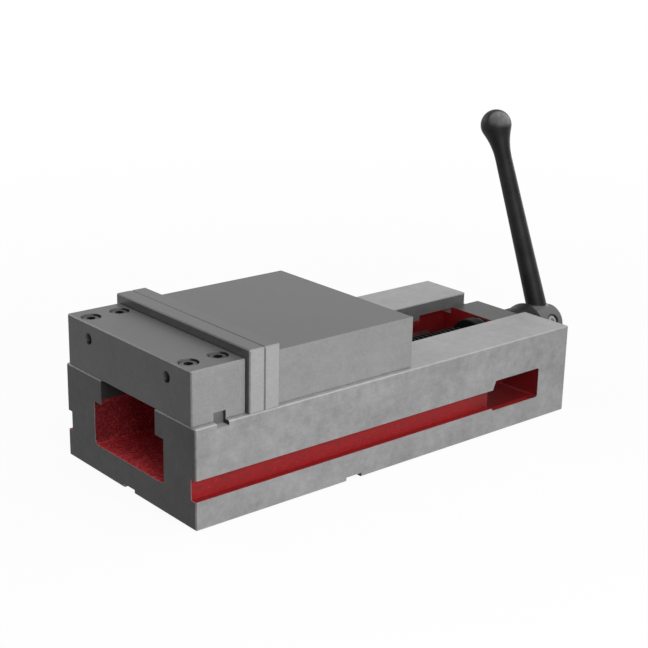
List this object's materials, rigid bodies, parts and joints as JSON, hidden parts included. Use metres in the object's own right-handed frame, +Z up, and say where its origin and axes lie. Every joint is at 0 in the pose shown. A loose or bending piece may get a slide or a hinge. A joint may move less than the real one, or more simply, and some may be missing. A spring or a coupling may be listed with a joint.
{
  "type": "precision machine vise",
  "caption": "Low machine vise: an iron bed with ground rails and a T-shaped channel, a keyed fixed jaw, and a jaw pulled along and down by a lead screw with a crank handle.",
  "frame": {"origin": "on the plane of the underside, mid width, straight below the clamping face of the fixed jaw plate", "axes": "+X from the fixed jaw along the rails to the crank handle, +Y across to the far side, +Z up from the machine table"},
  "size_m": [0.434, 0.16, 0.2177],
  "materials": {
    "bed_iron": "ground faces, channel, grooves and windows painted dark red",
    "jaw_iron": "ground all over",
    "hard_steel": "hardened and ground",
    "ground_steel": "ground",
    "screw_steel": "turned, oiled dark",
    "black_oxide": "forged, satin black",
    "black_screws": "black oxide",
    "nut_iron": "machined, oiled",
    "bronze": "turned bearing bronze",
    "bearing_brass": "pressed brass cage"
  },
  "bodies": {
    "bed": {"bed": "bed_iron", "fixed_jaw": "jaw_iron", "fixed_jaw_key": "ground_steel", "fixed_jaw_screws": "black_screws", "fixed_jaw_plate": "hard_steel", "fixed_plate_screws": "black_screws", "screw_bush": "bronze", "bearing_wall_washer": "ground_steel", "boss_washer": "bronze"},
    "screw": {"lead_screw": "screw_steel", "bearing_flange_washer": "ground_steel", "retaining_collar": "black_oxide", "collar_set_screw": "black_screws", "crank_handle": "black_oxide", "handle_set_screw": "black_screws"},
    "bearing_cage": {"thrust_cage": "bearing_brass", "thrust_needles": "ground_steel"},
    "jaw_carriage": {"movable_jaw": "jaw_iron", "movable_jaw_plate": "hard_steel", "movable_plate_screws": "black_screws", "nut": "nut_iron", "lock_segment": "ground_steel", "adjusting_screw": "black_screws"}
  },
  "joints": [
    {"name": "screw_turn", "type": "hinge", "parent": "bed", "child": "screw", "pos_m": [0.3045, 0, 0.041], "axis": [1, 0, 0], "range_deg": [0, 10800]},
    {"name": "jaw_slide", "type": "slide", "parent": "bed", "child": "jaw_carriage", "axis": [1, 0, 0], "range_m": [0, 0.15]},
    {"name": "cage_turn", "type": "hinge", "parent": "bed", "child": "bearing_cage", "pos_m": [0.2865, 0, 0.041], "axis": [1, 0, 0], "range_deg": [0, 5400]}
  ],
  "couplings": [
    {"joint": "jaw_slide", "follows": "screw_turn", "m_per_rad": 0.00079577},
    {"joint": "cage_turn", "follows": "screw_turn", "ratio": 0.5}
  ]
}
